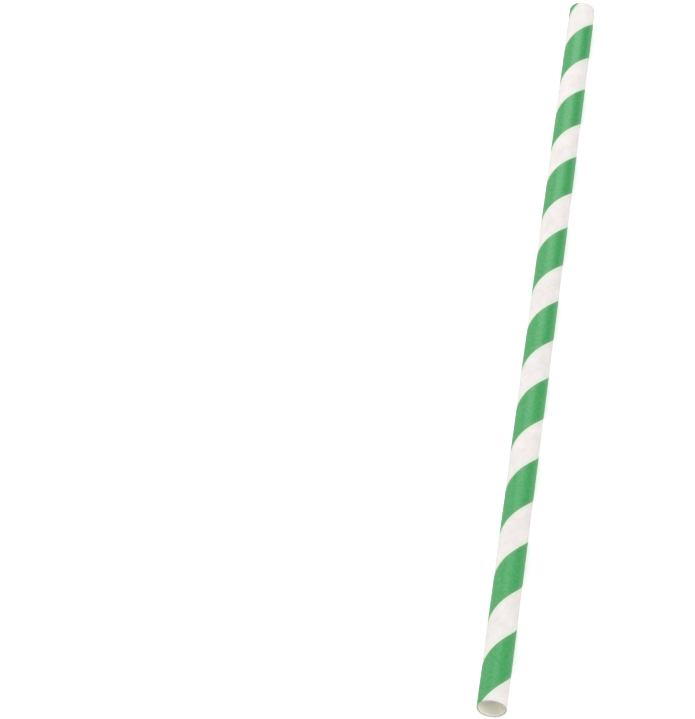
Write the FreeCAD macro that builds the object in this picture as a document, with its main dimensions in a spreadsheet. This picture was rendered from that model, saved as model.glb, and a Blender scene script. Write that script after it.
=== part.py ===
"""Spiral-wound paper drinking straw, 6 mm across and 197 mm long, lying on its side.

The straw is one rigid tube: two core plies and one printed face ply, wound on a mandrel,
glued to each other and cut square. Each ply is a strip whose edges meet in a butt seam,
so a fine helical groove runs along the outside and another along the bore, each as deep
as its ply. Paper straws are never quite round, and this one lies on the flattest line of
its outside, which keeps it from rolling. X runs along the straw, Z is up, and the origin is
the middle of that line.
"""
import FreeCAD
import Part
import Sketcher
import math
import os

os.makedirs("parts", exist_ok=True)
doc = FreeCAD.newDocument("paper_straw")

# Driving dimensions, in millimetres and degrees. The lead is how far along the straw a
# strip goes in one turn. The face seam's angle is where it meets the cut end at -X, from
# +Y towards +Z, and the core seam's lag is how far behind the face seam it runs. A seam
# narrows towards its floor, and its lean is how much each side comes in on the way down.
DIMENSIONS = {
    "straw_length": "197",
    "outer_diameter": "6",
    "face_ply": "0.08",
    "core_ply": "0.15",
    "core_ply_count": "2",
    "flat_width": "1",
    "winding_lead": "21.71",
    "face_seam_gap": "0.15",
    "face_seam_angle": "3",
    "core_seam_gap": "0.2",
    "core_seam_lag": "240",
    "seam_lean": "0.02",
}
sheet = doc.addObject("Spreadsheet::Sheet", "sizes")
for row, (alias, value) in enumerate(DIMENSIONS.items(), start=1):
    sheet.set(f"A{row}", alias)
    sheet.set(f"B{row}", value)
    sheet.setAlias(f"B{row}", alias)
doc.recompute()

OUTER_RADIUS = "sizes.outer_diameter / 2"
BORE_RADIUS = f"({OUTER_RADIUS} - sizes.face_ply - sizes.core_ply * sizes.core_ply_count)"
AXIS_HEIGHT = f"sqrt(({OUTER_RADIUS})^2 - (sizes.flat_width / 2)^2)"


def origin_feature(body, role):
    """Return the body's own origin plane or axis that has this role."""
    return next(item for item in body.Origin.OriginFeatures if item.Role == role)


def new_sketch(body, name, plane_role):
    """Add an empty sketch on one of the body's origin planes."""
    sketch = body.newObject("Sketcher::SketchObject", name)
    sketch.AttachmentSupport = [(origin_feature(body, plane_role), "")]
    sketch.MapMode = "FlatFace"
    return sketch


def constrain(sketch, name, expression, *constraint):
    """Add a dimension to the sketch, under a name, tied to the cells."""
    index = sketch.addConstraint(Sketcher.Constraint(*constraint))
    sketch.renameConstraint(index, name)
    sketch.setExpression(f"Constraints.{name}", expression)


def pad_tube_wall(body):
    """The glued plies as one wall, as long as the straw and centred on the origin.

    Its section is an annulus, but for a short flat at the bottom of the outer circle.
    """
    section = new_sketch(body, "wall_section", "YZ_Plane")
    outer = section.addGeometry(Part.ArcOfCircle(Part.Circle(), math.radians(-80), math.radians(260)))
    bore = section.addGeometry(Part.Circle())
    for curve, name, expression in (
        (outer, "outer_radius", OUTER_RADIUS), (bore, "bore_radius", BORE_RADIUS),
    ):
        section.addConstraint(Sketcher.Constraint("Coincident", curve, 3, -1, 1))
        constrain(section, name, expression, "Radius", curve, 1.0)
    ends = [section.getPoint(outer, end) for end in (2, 1)]
    flat = section.addGeometry(Part.LineSegment(*ends))
    for flat_end, arc_end in ((1, 2), (2, 1)):
        section.addConstraint(Sketcher.Constraint("Coincident", flat, flat_end, outer, arc_end))
    section.addConstraint(Sketcher.Constraint("Horizontal", flat))
    constrain(section, "flat_width", "sizes.flat_width", "DistanceX", flat, 1, flat, 2, 0.3)
    wall = body.newObject("PartDesign::Pad", "tube_wall")
    wall.Profile = section
    wall.Midplane = True
    wall.setExpression("Length", "sizes.straw_length")


def draw_trapezium(sketch):
    """Draw a shape whose sides are, in order, low, right, high and left."""
    corners = [FreeCAD.Vector(*corner) for corner in ((-2, 1), (-1, 1), (-1, 2), (-2, 2))]
    for number, corner in enumerate(corners):
        following = corners[(number + 1) % 4]
        sketch.addGeometry(Part.LineSegment(corner, following), False)
    for side in range(4):
        sketch.addConstraint(Sketcher.Constraint("Coincident", side, 2, (side + 1) % 4, 1))
    for level_side in (0, 2):
        sketch.addConstraint(Sketcher.Constraint("Horizontal", level_side))


def cut_seam(body, name, gap, surface_radius, floor_radius, end_angle):
    """Cut one ply's butt seam, a helical groove about the X axis.

    The gap is measured at the ply's surface and square to the seam, so along the straw it
    is wider. The cut runs as far past the surface as its floor is below, and it starts and
    ends one such width clear of the straw's two ends.
    """
    gap_along = f"({gap} * sqrt(1 + (sizes.winding_lead / (2 * pi * {surface_radius}))^2))"
    clear_radius = f"(2 * {surface_radius} - {floor_radius})"
    groove = new_sketch(body, f"{name}_section", "XZ_Plane")
    draw_trapezium(groove)
    constrain(groove, "floor_radius", floor_radius, "DistanceY", -1, 1, 0, 1, 1.0)
    constrain(groove, "clear_radius", clear_radius, "DistanceY", -1, 1, 2, 1, 2.0)
    middle = f"(sizes.straw_length / 2 + 1.5 * {gap_along})"
    floor_half = f"({gap_along} / 2 - sizes.seam_lean)"
    clear_half = f"({gap_along} / 2 + sizes.seam_lean)"
    for corner, side, distance in (
        ("floor_left", 0, f"{middle} + {floor_half}"),
        ("floor_right", 1, f"{middle} - {floor_half}"),
        ("clear_right", 2, f"{middle} - {clear_half}"),
        ("clear_left", 3, f"{middle} + {clear_half}"),
    ):
        constrain(groove, corner, distance, "DistanceX", side, 1, -1, 1, 1.5)
    # The sketch's up direction is +Z, a quarter turn on from +Y, and its middle is one
    # and a half widths short of the end at which the seam's angle is given.
    lead_in_angle = f"360 * 1.5 * {gap_along} / sizes.winding_lead"
    turned = FreeCAD.Rotation(FreeCAD.Vector(1, 0, 0), 1)
    groove.AttachmentOffset = FreeCAD.Placement(FreeCAD.Vector(), turned)
    groove.setExpression("AttachmentOffset.Rotation.Angle", f"{end_angle} - 90 - {lead_in_angle}")
    seam = body.newObject("PartDesign::SubtractiveHelix", name)
    seam.Profile = groove
    seam.ReferenceAxis = (origin_feature(body, "X_Axis"), [""])
    seam.Mode = "pitch-height-angle"
    seam.setExpression("Pitch", "sizes.winding_lead")
    seam.setExpression("Height", f"sizes.straw_length + 3 * {gap_along}")
    # Refining would join the strip's turns into one face ten turns long, which few tools
    # can measure or cut. Unrefined, each face goes round the tube once at most.
    seam.Refine = False


straw = doc.addObject("PartDesign::Body", "paper_tube")
straw.Label = "paper_tube"
pad_tube_wall(straw)
cut_seam(
    straw,
    "face_seam",
    gap="sizes.face_seam_gap",
    surface_radius=OUTER_RADIUS,
    floor_radius=f"({OUTER_RADIUS} - sizes.face_ply)",
    end_angle="sizes.face_seam_angle",
)
cut_seam(
    straw,
    "core_seam",
    gap="sizes.core_seam_gap",
    surface_radius=BORE_RADIUS,
    floor_radius=f"({BORE_RADIUS} + sizes.core_ply)",
    end_angle="(sizes.face_seam_angle - sizes.core_seam_lag)",
)

# The straw lies on the ground, on its flat.
straw.setExpression("Placement.Base.z", AXIS_HEIGHT)
doc.recompute()

failed = [item.Name for item in doc.Objects if {"Invalid", "Error"} & set(item.State)]
if failed:
    raise RuntimeError(f"objects that failed to build: {failed}")
if straw.Shape.isNull() or not straw.Shape.isValid() or len(straw.Shape.Solids) != 1:
    raise RuntimeError(f"{straw.Label} is not one valid solid")
straw.Shape.exportStep(f"parts/{straw.Label}.step")
print(straw.Label, "volume", round(straw.Shape.Volume, 1), "cubic millimetres")
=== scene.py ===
"""A striped paper drinking straw on a white table, in soft studio light.

Sizes are in metres, but for those whose names end in MM.
"""
import math

import bmesh
import bpy
from mathutils import Matrix, Vector


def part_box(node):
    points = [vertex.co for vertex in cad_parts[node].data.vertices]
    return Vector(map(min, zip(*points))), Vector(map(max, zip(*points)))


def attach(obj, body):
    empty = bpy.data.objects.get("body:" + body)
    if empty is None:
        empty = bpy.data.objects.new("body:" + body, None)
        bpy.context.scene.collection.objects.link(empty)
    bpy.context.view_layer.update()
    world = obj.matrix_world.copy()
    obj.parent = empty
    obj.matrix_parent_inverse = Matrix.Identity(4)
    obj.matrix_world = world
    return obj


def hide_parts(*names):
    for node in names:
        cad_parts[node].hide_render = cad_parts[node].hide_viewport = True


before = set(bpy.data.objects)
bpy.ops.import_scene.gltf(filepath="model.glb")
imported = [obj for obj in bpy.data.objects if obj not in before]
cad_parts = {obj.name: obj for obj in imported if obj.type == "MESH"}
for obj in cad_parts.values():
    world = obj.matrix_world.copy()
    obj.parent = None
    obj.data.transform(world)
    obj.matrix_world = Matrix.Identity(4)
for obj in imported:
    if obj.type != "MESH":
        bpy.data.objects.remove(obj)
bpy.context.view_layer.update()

# Camera
# A long lens over the straw's near end looks steeply down at the table. The straw lies
# to the right of the picture's middle, and its near end points at the viewer.
CAMERA_AZIMUTH = math.radians(98.12)
CAMERA_ELEVATION = math.radians(50.8)
CAMERA_DISTANCE = 0.6168
LOOKED_AT = Vector((0.01294, -0.04063, -0.00004))
LENS_MM, SENSOR_MM = 142.95, 36
NEAREST_SEEN, FARTHEST_SEEN = 0.01, 20

camera_data = bpy.data.cameras.new("camera")
camera_data.lens = LENS_MM
camera_data.sensor_width = SENSOR_MM
camera_data.clip_start, camera_data.clip_end = NEAREST_SEEN, FARTHEST_SEEN
camera = bpy.data.objects.new("camera", camera_data)
towards_camera = Vector((
    math.sin(CAMERA_AZIMUTH) * math.cos(CAMERA_ELEVATION),
    -math.cos(CAMERA_AZIMUTH) * math.cos(CAMERA_ELEVATION),
    math.sin(CAMERA_ELEVATION),
))
camera.location = LOOKED_AT + CAMERA_DISTANCE * towards_camera
camera.rotation_euler = towards_camera.to_track_quat("Z", "Y").to_euler()
bpy.context.collection.objects.link(camera)
bpy.context.scene.camera = camera

# Paper tube
# Three strips of paper are wound on a rod and glued: two core plies and a printed face
# ply. A strip's edges meet in a butt seam, which leaves a fine helical groove, part filled
# with glue, and the middle ply's seam shows through the face as a hair of a valley. Knives
# cut the ends. The tube lies on the flattest line of its outside.
FACE_PLY, CORE_PLY, CORE_PLIES = 0.00008, 0.00015, 2
WINDING_LEAD = 0.02171
FACE_SEAM_GAP, FACE_SEAM_DEPTH = 0.00015, 0.000035
CORE_SEAM_GAP = 0.0002
FACE_SEAM_ANGLE = math.radians(3)
CORE_SEAM_LAG = math.radians(240)
MIDDLE_SEAM_LAG, MIDDLE_SEAM_DIP = math.radians(172), 0.00002
CUT_EDGE_ROUNDING = 0.00003
SEAM_LEFT_IN_FLAT = 0.02
SHARP_FROM = math.radians(50)
POINTS_AROUND, RINGS_PER_TURN = 48, 40

low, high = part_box("paper_tube")
outer_radius = (high.y - low.y) / 2
bore_radius = outer_radius - FACE_PLY - CORE_PLIES * CORE_PLY
axis_height = high.z - outer_radius
far_end = Vector((low.x + CUT_EDGE_ROUNDING, 0, axis_height))


def draw_ring(mesh, radius, notch_radius, gap, seam_angle):
    """Draw the closed section of a ply's surface at the far end, notched at its seam."""
    lead_angle = math.atan(WINDING_LEAD / (math.tau * radius))
    half_notch = gap / math.sin(lead_angle) / 2 / radius
    places = [(half_notch, notch_radius), (half_notch, radius)]
    places += [(math.tau * step / POINTS_AROUND, radius) for step in range(1, POINTS_AROUND)]
    places += [(-half_notch, radius), (-half_notch, notch_radius)]
    points = []
    for angle, distance in places:
        angle += seam_angle
        across = Vector((0, math.cos(angle), math.sin(angle)))
        points.append(mesh.verts.new(far_end + distance * across))
    edges = [mesh.edges.new((points[i - 1], points[i])) for i in range(len(points))]
    return points, edges


tube_mesh = bmesh.new()
outer_points, outer_edges = draw_ring(
    tube_mesh, outer_radius, outer_radius - FACE_SEAM_DEPTH, FACE_SEAM_GAP, FACE_SEAM_ANGLE
)
bore_points, bore_edges = draw_ring(
    tube_mesh, bore_radius, bore_radius + CORE_PLY, CORE_SEAM_GAP, FACE_SEAM_ANGLE - CORE_SEAM_LAG
)
middle_seam_point = outer_points[1 + round(POINTS_AROUND * (1 - MIDDLE_SEAM_LAG / math.tau))]
middle_seam_point.co += (far_end - middle_seam_point.co).normalized() * MIDDLE_SEAM_DIP

swept_length = high.x - low.x - 2 * CUT_EDGE_ROUNDING
turns = swept_length / WINDING_LEAD
ring_count = round(turns * RINGS_PER_TURN)
swept = bmesh.ops.spin(
    tube_mesh,
    geom=outer_points + bore_points + outer_edges + bore_edges,
    cent=far_end,
    axis=(1, 0, 0),
    angle=math.tau * turns,
    dvec=(swept_length / ring_count, 0, 0),
    steps=ring_count,
)
near_edges = [item for item in swept["geom_last"] if isinstance(item, bmesh.types.BMEdge)]
cut_faces = []
for end_edges, outwards in ((outer_edges + bore_edges, (-1, 0, 0)), (near_edges, (1, 0, 0))):
    filled = bmesh.ops.triangle_fill(
        tube_mesh, edges=end_edges, normal=outwards, use_beauty=True
    )
    cut_faces += [item for item in filled["geom"] if isinstance(item, bmesh.types.BMFace)]
bmesh.ops.recalc_face_normals(tube_mesh, faces=tube_mesh.faces)
rounded = bmesh.ops.inset_region(
    tube_mesh,
    faces=cut_faces,
    thickness=CUT_EDGE_ROUNDING,
    depth=CUT_EDGE_ROUNDING,
    use_boundary=True,
    use_even_offset=True,
)
cut_faces += rounded["faces"]

# What would reach below the table is pressed up into a narrow flat, in which only a small
# share of its depth is left, as a trace of the seam.
for point in tube_mesh.verts:
    point.co.z = max(point.co.z, SEAM_LEFT_IN_FLAT * point.co.z)

# The winding map unrolls each strip, in millimetres: first across it from the seam, then
# along it from the far end.
FACE, CORE, CUT = range(3)
winding_map = tube_mesh.loops.layers.uv.new("winding")


def place_on_strip(place, seam_angle, radius, middle=None):
    """Unroll a place on a ply's surface. A face's corners stay on the same turn as its middle."""
    angle = math.atan2(place.z - axis_height, place.y) - seam_angle
    angle = (angle - math.tau * (place.x - far_end.x) / WINDING_LEAD) % math.tau
    if middle is not None:
        angle += math.tau * round((middle - angle) / math.tau)
    lead_angle = math.atan(WINDING_LEAD / (math.tau * radius))
    across = radius * angle * math.sin(lead_angle)
    along = (place.x - far_end.x) / math.sin(lead_angle) + radius * angle * math.cos(lead_angle)
    return angle, (1000 * across, 1000 * along)


middle_radius = (outer_radius + bore_radius) / 2
for face in tube_mesh.faces:
    face.smooth = True
    middle = face.calc_center_median()
    outside = math.hypot(middle.y, middle.z - axis_height) > middle_radius
    face.material_index = FACE if outside else CORE
    seam_angle = FACE_SEAM_ANGLE if outside else FACE_SEAM_ANGLE - CORE_SEAM_LAG
    radius = outer_radius if outside else bore_radius
    middle_angle, _ = place_on_strip(middle, seam_angle, radius)
    for loop in face.loops:
        _, loop[winding_map].uv = place_on_strip(loop.vert.co, seam_angle, radius, middle_angle)
for face in cut_faces:
    face.material_index = CUT

tube_data = bpy.data.meshes.new("paper_tube_wound")
tube_mesh.to_mesh(tube_data)
tube_mesh.free()
tube_data.set_sharp_from_angle(angle=SHARP_FROM)
tube = bpy.data.objects.new("paper_tube_wound", tube_data)
bpy.context.collection.objects.link(tube)
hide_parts("paper_tube")
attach(tube, "root")


def linear(hex_colour):
    """Turn an sRGB hex colour into the linear colour that a shader takes."""
    parts = [int(hex_colour[i:i + 2], 16) / 255 for i in (1, 3, 5)]
    return [c / 12.92 if c <= 0.04045 else ((c + 0.055) / 1.055) ** 2.4 for c in parts] + [1]


def add(material, kind, inputs=None, **settings):
    """Add a node with its settings, and give each input named or numbered a value or a link."""
    tree = material.node_tree
    new = tree.nodes.new("ShaderNode" + kind)
    for name, value in settings.items():
        setattr(new, name, value)
    for name, value in (inputs or {}).items():
        if isinstance(value, bpy.types.NodeSocket):
            tree.links.new(value, new.inputs[name])
        else:
            new.inputs[name].default_value = value
    return new


# Face ply: bleached kraft paper, machine glazed, with one flexographic green stripe in a
# food-safe ink. The paper is a smooth matte white. The ink has a soft sheen, lies a little
# unevenly on the fibres, stands off both edges of the strip, and spreads past its own
# edges as a thin pale halo.
STRIP_WIDTH_MM = 14.24
STRIPE_START_MM, STRIPE_END_MM = 0.293 * STRIP_WIDTH_MM, 0.81 * STRIP_WIDTH_MM
FIBRE_MM, CLOUD_MM, INK_GRAIN_MM = 0.35, 4.0, 0.7
INK_EDGE_WANDER_MM, INK_EDGE_MM, INK_RIM_MM, INK_HALO_MM = 0.06, 0.05, 0.9, 1.2
PAPER_SHADES, HALO_SHADE = ("#EDE7E4", "#FAF5F3"), "#B4F4B6"
INK_SHADES, INK_RIM_SHADE = ("#309850", "#4CAE66"), "#8C9282"
PAPER_ROUGHNESS, INK_ROUGHNESS = 0.75, 0.4
FACE_RELIEF = 0.00002

face_paper = bpy.data.materials.new("glazed_face_paper_flexo_printed")
face_paper.use_nodes = True
face_paper.node_tree.nodes.clear()
strip = add(face_paper, "UVMap", uv_map="winding")
strip_place = add(face_paper, "SeparateXYZ", {0: strip.outputs[0]})
drawn_out = add(face_paper, "Mapping", {0: strip.outputs[0], "Scale": (1, 0.2, 1)})
fibres = add(face_paper, "TexNoise", {
    "Vector": drawn_out.outputs[0], "Scale": 1 / FIBRE_MM, "Detail": 3, "Roughness": 0.6,
})
clouds = add(face_paper, "TexNoise", {
    "Vector": strip.outputs[0], "Scale": 1 / CLOUD_MM, "Detail": 2, "Roughness": 0.5,
})
grain = add(face_paper, "TexNoise", {
    "Vector": strip.outputs[0], "Scale": 1 / INK_GRAIN_MM, "Detail": 4, "Roughness": 0.65,
})

wander = add(face_paper, "Math", {0: grain.outputs[0], 1: -0.5}, operation="ADD")
wandering = add(
    face_paper, "Math",
    {0: wander.outputs[0], 1: 2 * INK_EDGE_WANDER_MM, 2: strip_place.outputs["X"]},
    operation="MULTIPLY_ADD",
)


def stripe_mask(softness):
    """The printed stripe, as 1 on the ink and 0 off it, with edges this soft in millimetres."""
    sides = []
    for edge in (STRIPE_START_MM, STRIPE_END_MM):
        side = add(face_paper, "MapRange", {
            "Value": wandering.outputs[0],
            "From Min": edge - softness,
            "From Max": edge + softness,
        }, interpolation_type="SMOOTHSTEP")
        sides.append(side.outputs[0])
    return add(face_paper, "Math", {0: sides[0], 1: sides[1]}, operation="SUBTRACT").outputs[0]


ink = stripe_mask(INK_EDGE_MM)
full_ink = stripe_mask(INK_RIM_MM)
halo = stripe_mask(INK_HALO_MM)

paper_shade = add(face_paper, "Math", {
    0: fibres.outputs[0], 1: clouds.outputs[0],
}, operation="ADD")
paper_colour = add(face_paper, "MixRGB", {
    0: add(face_paper, "MapRange", {
        "Value": paper_shade.outputs[0], "From Min": 0.7, "From Max": 1.3,
    }).outputs[0],
    1: linear(PAPER_SHADES[0]),
    2: linear(PAPER_SHADES[1]),
})
haloed_paper = add(face_paper, "MixRGB", {
    0: halo, 1: paper_colour.outputs[0], 2: linear(HALO_SHADE),
})
ink_colour = add(face_paper, "MixRGB", {
    0: add(face_paper, "MapRange", {
        "Value": grain.outputs[0], "From Min": 0.3, "From Max": 0.7,
    }).outputs[0],
    1: linear(INK_SHADES[0]),
    2: linear(INK_SHADES[1]),
})
rimmed_ink = add(face_paper, "MixRGB", {
    0: full_ink, 1: linear(INK_RIM_SHADE), 2: ink_colour.outputs[0],
})
printed = add(face_paper, "MixRGB", {
    0: ink, 1: haloed_paper.outputs[0], 2: rimmed_ink.outputs[0],
})
face_bump = add(face_paper, "Bump", {
    "Strength": 0.25, "Distance": FACE_RELIEF, "Height": fibres.outputs[0],
})
face_roughness = add(face_paper, "MapRange", {
    "Value": ink, "To Min": PAPER_ROUGHNESS, "To Max": INK_ROUGHNESS,
})
face_shader = add(face_paper, "BsdfPrincipled", {
    "Base Color": printed.outputs[0],
    "Roughness": face_roughness.outputs[0],
    "Specular IOR Level": 0.42,
    "IOR": 1.5,
    "Normal": face_bump.outputs[0],
})
add(face_paper, "OutputMaterial", {"Surface": face_shader.outputs[0]})

# Core ply: heavier uncoated paper, seen in the bore. It is a warm, slightly yellow white
# without sheen, from the glue that soaks through it, and lets a little light through.
CORE_SHADES = "#F0ECE0", "#F9F6ED"
CORE_RELIEF, CORE_LIGHT_DEPTH = 0.00004, 0.0003

core_paper = bpy.data.materials.new("uncoated_core_paper")
core_paper.use_nodes = True
core_paper.node_tree.nodes.clear()
core_strip = add(core_paper, "UVMap", uv_map="winding")
core_drawn_out = add(core_paper, "Mapping", {0: core_strip.outputs[0], "Scale": (1, 0.3, 1)})
core_fibres = add(core_paper, "TexNoise", {
    "Vector": core_drawn_out.outputs[0], "Scale": 1 / FIBRE_MM, "Detail": 4, "Roughness": 0.65,
})
core_colour = add(core_paper, "MixRGB", {
    0: core_fibres.outputs[0], 1: linear(CORE_SHADES[0]), 2: linear(CORE_SHADES[1]),
})
core_bump = add(core_paper, "Bump", {
    "Strength": 0.4, "Distance": CORE_RELIEF, "Height": core_fibres.outputs[0],
})
core_shader = add(core_paper, "BsdfPrincipled", {
    "Base Color": core_colour.outputs[0],
    "Subsurface Weight": 0.6,
    "Subsurface Radius": (1, 0.95, 0.8),
    "Subsurface Scale": CORE_LIGHT_DEPTH,
    "Roughness": 0.85,
    "IOR": 1.5,
    "Normal": core_bump.outputs[0],
})
add(core_paper, "OutputMaterial", {"Surface": core_shader.outputs[0]})

# Cut ends: all three plies edge on. The knife leaves a matte, slightly furred edge, and
# the glue lines between the plies show as faint rings. The cut paper is painted a mid
# grey, darker than the paper's white: painted shade on the cut face.
GLUE_LINE = 0.000015
CUT_GRAIN, CUT_RELIEF = 1 / 9000, 0.00003
# The two greys of the cut fibres are painted shade on the cut face, not the paper's white.
CUT_PAINTED_SHADE_GREYS, GLUE_SHADE = ("#ABA7A0", "#C9C6BF"), "#ADA695"

cut_paper = bpy.data.materials.new("knife_cut_paper_edge")
cut_paper.use_nodes = True
cut_paper.node_tree.nodes.clear()
cut_place = add(cut_paper, "TexCoord")
from_axis = add(cut_paper, "VectorMath", {
    0: cut_place.outputs["Object"], 1: (0, 0, axis_height),
}, operation="SUBTRACT")
in_section = add(cut_paper, "VectorMath", {
    0: from_axis.outputs[0], 1: (0, 1, 1),
}, operation="MULTIPLY")
cut_radius = add(cut_paper, "VectorMath", {0: in_section.outputs[0]}, operation="LENGTH")
glue = None
for ply_edge in (outer_radius - FACE_PLY, outer_radius - FACE_PLY - CORE_PLY):
    line = add(cut_paper, "Math", {
        0: cut_radius.outputs["Value"], 1: ply_edge, 2: GLUE_LINE,
    }, operation="COMPARE").outputs[0]
    glue = line if glue is None else add(
        cut_paper, "Math", {0: glue, 1: line}, operation="MAXIMUM"
    ).outputs[0]
cut_grain = add(cut_paper, "TexNoise", {
    "Vector": cut_place.outputs["Object"], "Scale": 1 / CUT_GRAIN, "Detail": 3, "Roughness": 0.7,
})
# Painted shade: the cut fibres mix two mid greys, darker than the paper's white.
shaded_cut_fibres = add(cut_paper, "MixRGB", {
    0: cut_grain.outputs[0], 1: linear(CUT_PAINTED_SHADE_GREYS[0]), 2: linear(CUT_PAINTED_SHADE_GREYS[1]),
})
cut_colour = add(cut_paper, "MixRGB", {
    0: glue, 1: shaded_cut_fibres.outputs[0], 2: linear(GLUE_SHADE),
})
cut_bump = add(cut_paper, "Bump", {
    "Strength": 0.5, "Distance": CUT_RELIEF, "Height": cut_grain.outputs[0],
})
cut_shader = add(cut_paper, "BsdfPrincipled", {
    "Base Color": cut_colour.outputs[0],
    "Roughness": 0.9,
    "IOR": 1.5,
    "Normal": cut_bump.outputs[0],
})
add(cut_paper, "OutputMaterial", {"Surface": cut_shader.outputs[0]})
for material in (face_paper, core_paper, cut_paper):
    tube_data.materials.append(material)

# Table
# A plain white sheet that runs out of sight. To the eye it is lifted to full white, and
# it still takes the straw's soft shadow.
TABLE_HALF_WIDTH = 2.0
TABLE_LIFT, TABLE_GLOSS_LIFT = 0.4, 0.1

table_mesh = bmesh.new()
bmesh.ops.create_grid(table_mesh, x_segments=1, y_segments=1, size=TABLE_HALF_WIDTH)
table_data = bpy.data.meshes.new("table")
table_mesh.to_mesh(table_data)
table_mesh.free()
table = bpy.data.objects.new("table", table_data)
bpy.context.collection.objects.link(table)
table_white = bpy.data.materials.new("white_table")
table_white.use_nodes = True
table_white.node_tree.nodes.clear()
sight = add(table_white, "LightPath")
mirrored = add(table_white, "Math", {
    0: sight.outputs["Is Glossy Ray"], 1: sight.outputs["Is Transmission Ray"],
}, operation="MAXIMUM")
mirrored_lift = add(table_white, "Math", {
    0: mirrored.outputs[0], 1: TABLE_GLOSS_LIFT,
}, operation="MULTIPLY")
lift = add(table_white, "Math", {
    0: sight.outputs["Is Camera Ray"], 1: TABLE_LIFT, 2: mirrored_lift.outputs[0],
}, operation="MULTIPLY_ADD")
table_shader = add(table_white, "BsdfPrincipled", {
    "Base Color": linear("#F4F4F4"),
    "Roughness": 1.0,
    "Specular IOR Level": 0.0,
    "Emission Color": (1, 1, 1, 1),
    "Emission Strength": lift.outputs[0],
})
add(table_white, "OutputMaterial", {"Surface": table_shader.outputs[0]})
table_data.materials.append(table_white)

# Light
# A large softbox hangs beyond the straw's far end. Three fills and an even white studio
# light the rest, one of them through the near mouth. A dark card stands far off to the
# right, and the sheen shows it as a streak along the straw.
AMBIENT = 0.33
LAMPS = (
    ("softbox", Vector((-0.86, -0.09, 0.7)), 0.85, 7.3),
    ("front_fill", Vector((0.9, -0.28, 0.5)), 0.8, 4.6),
    ("left_fill", Vector((-0.35, -0.92, 0.38)), 0.8, 2.1),
    ("right_fill", Vector((0.45, 0.88, 0.4)), 0.8, 4.35),
)
CARD_PLACE, CARD_WIDTH, CARD_HEIGHT = Vector((-0.72, 0.6, 0)), 0.55, 0.45

world = bpy.data.worlds.new("studio")
world.use_nodes = True
bpy.context.scene.world = world
world.node_tree.nodes.clear()
world_sight = add(world, "LightPath")
world_seen = add(world, "Math", {
    0: world_sight.outputs["Is Camera Ray"], 1: world_sight.outputs["Is Glossy Ray"],
}, operation="MAXIMUM")
world_seen = add(world, "Math", {
    0: world_seen.outputs[0], 1: world_sight.outputs["Is Transmission Ray"],
}, operation="MAXIMUM")
world_light = add(world, "MapRange", {
    "Value": world_seen.outputs[0], "To Min": AMBIENT, "To Max": 1,
})
world_shader = add(world, "Background", {
    "Color": (1, 1, 1, 1), "Strength": world_light.outputs[0],
})
add(world, "OutputWorld", {"Surface": world_shader.outputs[0]})

for name, place, size, power in LAMPS:
    lamp_data = bpy.data.lights.new(name, "AREA")
    lamp_data.shape = "SQUARE"
    lamp_data.size = size
    lamp_data.energy = power
    lamp = bpy.data.objects.new(name, lamp_data)
    lamp.location = place
    lamp.rotation_euler = place.to_track_quat("Z", "Y").to_euler()
    bpy.context.collection.objects.link(lamp)

card_mesh = bmesh.new()
bmesh.ops.create_grid(
    card_mesh, x_segments=1, y_segments=1, size=0.5,
    matrix=Matrix.Diagonal((CARD_WIDTH, CARD_HEIGHT, 1, 1)),
)
card_data = bpy.data.meshes.new("dark_card")
card_mesh.to_mesh(card_data)
card_mesh.free()
card = bpy.data.objects.new("dark_card", card_data)
card.location = CARD_PLACE + Vector((0, 0, CARD_HEIGHT / 2))
card.rotation_euler = CARD_PLACE.to_track_quat("Z", "Y").to_euler()
card.visible_camera = False
bpy.context.collection.objects.link(card)
card_grey = bpy.data.materials.new("dark_card_grey")
card_grey.use_nodes = True
card_grey.node_tree.nodes.clear()
card_shader = add(card_grey, "BsdfDiffuse", {"Color": linear("#101010")})
add(card_grey, "OutputMaterial", {"Surface": card_shader.outputs[0]})
card_data.materials.append(card_grey)

bpy.context.scene.view_settings.view_transform = "Standard"
